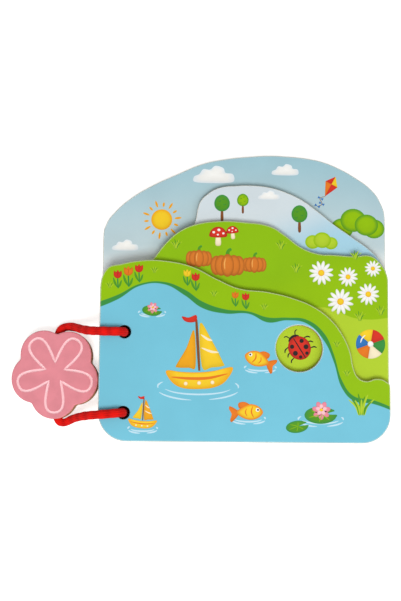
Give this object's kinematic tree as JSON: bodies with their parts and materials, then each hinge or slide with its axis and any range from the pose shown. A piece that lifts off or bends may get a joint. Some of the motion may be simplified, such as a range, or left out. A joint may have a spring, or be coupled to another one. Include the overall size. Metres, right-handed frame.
{
  "type": "wooden picture book",
  "caption": "Wooden picture book for a baby: stepped landscape leaves tied by a cord loop, with a flower grip threaded on the loop.",
  "frame": {"origin": "centre of the back leaf's flat rear face, the face the closed book lies on", "axes": "+X from the spine towards the open side, +Y up the picture, +Z out of the front cover"},
  "size_m": [0.1957, 0.1526, 0.0222],
  "materials": {
    "water_print": "printed plywood, satin",
    "meadow_print": "printed plywood, satin",
    "haze_print": "printed plywood, satin",
    "sky_print": "printed plywood, satin",
    "pink_paint": "painted faces, bare wood sides",
    "red_cord": "soft twisted cotton"
  },
  "bodies": {
    "base": {"back_leaf": "sky_print", "cord_binding": "red_cord"},
    "third": {"third_leaf": "haze_print"},
    "second": {"second_leaf": "meadow_print"},
    "front": {"front_leaf": "water_print"},
    "cord_loop": {"cord_upper_strand": "red_cord", "cord_lower_strand": "red_cord", "cord_in_grip": "red_cord"},
    "flower": {"flower_grip": "pink_paint"}
  },
  "joints": [
    {"name": "third_leaf_turn", "type": "hinge", "parent": "base", "child": "third", "pos_m": [-0.078, 0, 0.01705], "axis": [0, -1, 0], "range_deg": [0, 179.5], "deforming": ["cord_binding"]},
    {"name": "second_leaf_turn", "type": "hinge", "parent": "third", "child": "second", "pos_m": [-0.078, 0, 0.01705], "axis": [0, -1, 0], "range_deg": [0, 179.5]},
    {"name": "front_leaf_turn", "type": "hinge", "parent": "second", "child": "front", "pos_m": [-0.078, 0, 0.01705], "axis": [0, -1, 0], "range_deg": [0, 179.5]},
    {"name": "loop_swing", "type": "hinge", "parent": "base", "child": "cord_loop", "pos_m": [-0.062, -0.0408, 0.0196], "axis": [0, 1, 0], "range_deg": [0, 179.5], "deforming": ["cord_upper_strand", "cord_lower_strand"]},
    {"name": "flower_spin", "type": "hinge", "parent": "cord_loop", "child": "flower", "pos_m": [-0.09815, -0.04125, 0.0055], "axis": [0, 1, 0], "range_deg": [-180, 180]}
  ]
}
